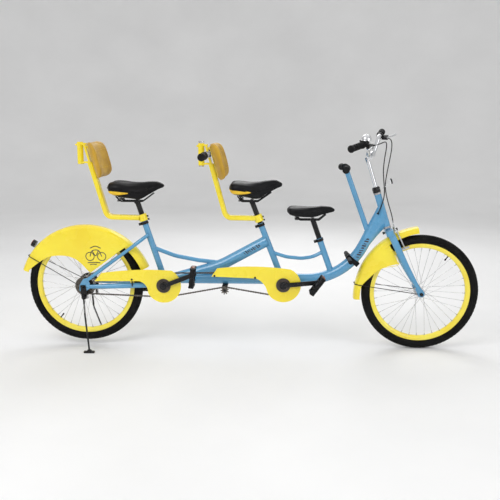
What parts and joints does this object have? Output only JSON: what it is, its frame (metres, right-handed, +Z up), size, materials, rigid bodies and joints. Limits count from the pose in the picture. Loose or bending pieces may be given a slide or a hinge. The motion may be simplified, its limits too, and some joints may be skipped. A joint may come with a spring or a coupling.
{
  "type": "tandem bicycle",
  "caption": "Tandem bicycle with a curved backbone frame, adult saddles with padded backrests, a child seat and bar, full fenders, chainguards, linked cranks and a folding stand.",
  "frame": {"origin": "on the ground plane under the middle of the bounding box", "axes": "+X towards the front wheel, +Y to the rider's left, +Z up"},
  "size_m": [2.394, 0.5734, 1.1421],
  "materials": {
    "blue_paint": "glossy sky-blue enamel",
    "yellow_paint": "glossy yellow enamel",
    "yellow_rim": "satin yellow rim paint",
    "mustard_leather": "mustard yellow leatherette",
    "steel": "zinc-plated steel",
    "black_rubber": "moulded black rubber",
    "chrome": "chromed steel",
    "chain_steel": "oiled steel",
    "black_plastic": "black plastic",
    "clear_reflector": "clear prismatic plastic",
    "aluminium": "satin aluminium",
    "tyre": "black tyre rubber",
    "spoke_steel": "bright drawn wire",
    "black_steel": "black gloss enamel",
    "black_vinyl": "black grained vinyl"
  },
  "bodies": {
    "frame": {"head_tube": "blue_paint", "main_tube": "blue_paint", "diagonal_tube": "blue_paint", "seat_tubes": "blue_paint", "link_tubes": "blue_paint", "rear_stays": "blue_paint", "bottom_bracket_shells": "blue_paint", "frame_bearings": "steel", "frame_hardware": "black_steel", "child_handlebar": "blue_paint", "child_footrest": "black_rubber", "passenger_grips": "black_rubber", "rear_fender": "yellow_paint", "rear_fender_fittings": "black_steel", "chainguards": "yellow_paint", "backrest_posts": "yellow_paint", "backrest_pads": "mustard_leather", "stoker_handlebar": "chrome", "drive_chain": "chain_steel", "timing_chain": "chain_steel", "band_brake": "black_steel", "rear_brake_cable": "black_plastic"},
    "steering": {"fork": "blue_paint", "quill_stem": "chrome", "handlebar": "chrome", "handlebar_grips": "black_rubber", "bar_fittings": "black_plastic", "front_reflector": "clear_reflector", "front_fender": "yellow_paint", "front_fender_stays": "black_steel", "front_brake_cable": "black_plastic", "steering_hardware": "black_steel"},
    "front_wheel": {"front_tyre": "tyre", "front_rim": "yellow_rim", "front_spokes": "spoke_steel", "front_hub": "aluminium"},
    "rear_wheel": {"rear_tyre": "tyre", "rear_rim": "yellow_rim", "rear_spokes": "spoke_steel", "rear_hub": "aluminium"},
    "freewheel_body": {"freewheel": "chain_steel"},
    "tensioner": {"tensioner_idler": "chain_steel"},
    "rear_cranks": {"rear_crankset": "black_steel"},
    "front_cranks": {"front_crankset": "black_steel"},
    "rear_right_pedal_body": {"rear_right_pedal": "black_plastic"},
    "rear_left_pedal_body": {"rear_left_pedal": "black_plastic"},
    "front_right_pedal_body": {"front_right_pedal": "black_plastic"},
    "front_left_pedal_body": {"front_left_pedal": "black_plastic"},
    "right_lever": {"right_brake_lever": "aluminium"},
    "left_lever": {"left_brake_lever": "aluminium"},
    "right_brake_arm": {"right_caliper_arm": "aluminium"},
    "left_brake_arm": {"left_caliper_arm": "aluminium"},
    "band_arm": {"band_brake_arm": "steel"},
    "stand_legs": {"stand": "black_steel"},
    "rear_seat": {"rear_seatpost": "black_steel", "rear_saddle": "black_vinyl"},
    "middle_seat": {"middle_seatpost": "black_steel", "middle_saddle": "black_vinyl"},
    "child_seat": {"child_seatpost": "black_steel", "child_saddle": "black_vinyl"}
  },
  "joints": [
    {"name": "steer", "type": "hinge", "parent": "frame", "child": "steering", "pos_m": [0.71188, 0, 0.652], "axis": [-0.3067, 0, 0.9518], "range_deg": [-45, 45], "deforming": ["rear_brake_cable"]},
    {"name": "front_wheel_spin", "type": "hinge", "parent": "steering", "child": "front_wheel", "pos_m": [0.89348, 0, 0.3035], "axis": [0, 1, 0], "continuous": true},
    {"name": "rear_wheel_spin", "type": "hinge", "parent": "frame", "child": "rear_wheel", "pos_m": [-0.86452, 0, 0.3275], "axis": [0, 1, 0], "continuous": true},
    {"name": "rear_crank_spin", "type": "hinge", "parent": "frame", "child": "rear_cranks", "pos_m": [-0.44052, 0, 0.341], "axis": [0, 1, 0], "continuous": true},
    {"name": "front_crank_spin", "type": "hinge", "parent": "frame", "child": "front_cranks", "pos_m": [0.18148, 0, 0.35], "axis": [0, 1, 0], "continuous": true},
    {"name": "freewheel_spin", "type": "hinge", "parent": "frame", "child": "freewheel_body", "pos_m": [-0.86452, 0, 0.3275], "axis": [0, 1, 0], "continuous": true},
    {"name": "tensioner_spin", "type": "hinge", "parent": "frame", "child": "tensioner", "pos_m": [-0.12252, 0, 0.316], "axis": [0, 1, 0], "continuous": true},
    {"name": "rear_right_pedal_spin", "type": "hinge", "parent": "rear_cranks", "child": "rear_right_pedal_body", "pos_m": [-0.2806, -0.14, 0.40432], "axis": [0, 1, 0], "continuous": true},
    {"name": "rear_left_pedal_spin", "type": "hinge", "parent": "rear_cranks", "child": "rear_left_pedal_body", "pos_m": [-0.60044, 0.14, 0.27768], "axis": [0, 1, 0], "continuous": true},
    {"name": "front_right_pedal_spin", "type": "hinge", "parent": "front_cranks", "child": "front_right_pedal_body", "pos_m": [0.35266, -0.14, 0.36678], "axis": [0, 1, 0], "continuous": true},
    {"name": "front_left_pedal_spin", "type": "hinge", "parent": "front_cranks", "child": "front_left_pedal_body", "pos_m": [0.0103, 0.14, 0.33322], "axis": [0, 1, 0], "continuous": true},
    {"name": "left_lever_pull", "type": "hinge", "parent": "steering", "child": "left_lever", "pos_m": [0.70979, 0.10154, 1.10133], "axis": [-0.0252, -0.1247, 0.9919], "range_deg": [0, 12], "stiffness_Nm_per_rad": 1.5, "springref_deg": -17.19},
    {"name": "right_lever_pull", "type": "hinge", "parent": "steering", "child": "right_lever", "pos_m": [0.5952, -0.16887, 1.06441], "axis": [0.0252, 0.1247, -0.9919], "range_deg": [0, 12], "stiffness_Nm_per_rad": 1.5, "springref_deg": -17.19},
    {"name": "left_brake_arm_close", "type": "hinge", "parent": "steering", "child": "left_brake_arm", "pos_m": [0.75185, 0, 0.63231], "axis": [0.9518, 0, 0.3067], "range_deg": [-0.8, 0]},
    {"name": "right_brake_arm_close", "type": "hinge", "parent": "steering", "child": "right_brake_arm", "pos_m": [0.75185, 0, 0.63231], "axis": [0.9518, 0, 0.3067], "range_deg": [0, 0.8]},
    {"name": "band_arm_pull", "type": "hinge", "parent": "frame", "child": "band_arm", "pos_m": [-0.89152, 0.0585, 0.2807], "axis": [0, 1, 0], "range_deg": [-10, 0]},
    {"name": "stand_fold", "type": "hinge", "parent": "frame", "child": "stand_legs", "pos_m": [-0.86052, 0, 0.276], "axis": [0, 1, 0], "range_deg": [0, 80]},
    {"name": "rear_seat_height", "type": "slide", "parent": "frame", "child": "rear_seat", "axis": [-0.3057, 0, 0.9521], "range_m": [-0.03, 0.04]},
    {"name": "middle_seat_height", "type": "slide", "parent": "frame", "child": "middle_seat", "axis": [-0.3616, 0, 0.9323], "range_m": [-0.03, 0.04]},
    {"name": "child_seat_height", "type": "slide", "parent": "frame", "child": "child_seat", "axis": [-0.3387, 0, 0.9409], "range_m": [-0.03, 0.04]}
  ],
  "couplings": [
    {"joint": "front_crank_spin", "follows": "rear_crank_spin", "ratio": 1},
    {"joint": "freewheel_spin", "follows": "rear_crank_spin", "ratio": 1.7778},
    {"joint": "tensioner_spin", "follows": "rear_crank_spin", "ratio": -3.5556},
    {"joint": "left_brake_arm_close", "follows": "left_lever_pull", "ratio": -0.066667},
    {"joint": "right_brake_arm_close", "follows": "left_lever_pull", "ratio": 0.066667},
    {"joint": "band_arm_pull", "follows": "right_lever_pull", "ratio": -0.83333}
  ]
}
